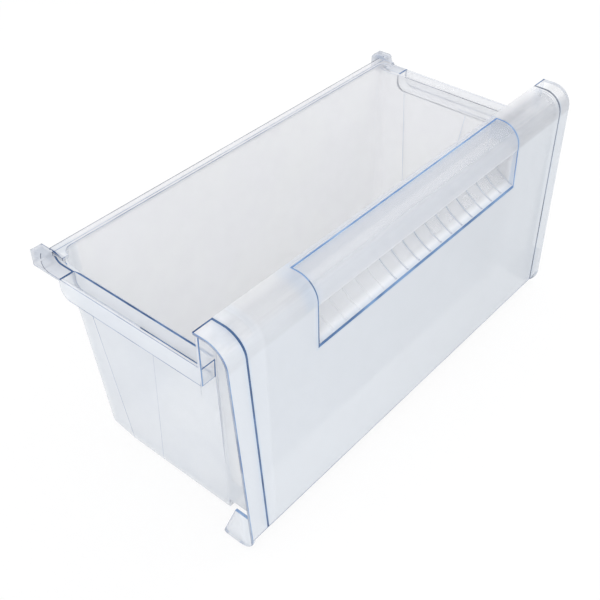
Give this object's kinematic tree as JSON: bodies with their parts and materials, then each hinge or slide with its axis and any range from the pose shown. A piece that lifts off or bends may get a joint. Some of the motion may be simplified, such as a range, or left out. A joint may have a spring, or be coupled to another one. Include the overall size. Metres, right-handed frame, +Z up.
{
  "type": "fridge freezer drawer",
  "caption": "Shallow clear plastic freezer drawer with a round-nosed front, a finger pocket with grip ribs, side rails, rear stops and feet under the front.",
  "frame": {"origin": "centre of the drawer's outline, on the surface that the base of the tray rests on", "axes": "+X along the drawer's width to the right of someone facing its front, -Y out of the front, +Z up"},
  "size_m": [0.44, 0.212, 0.211],
  "materials": {
    "clear_plastic": "clear, pale blue, polished"
  },
  "bodies": {
    "root": {"drawer": "clear_plastic"}
  },
  "joints": []
}
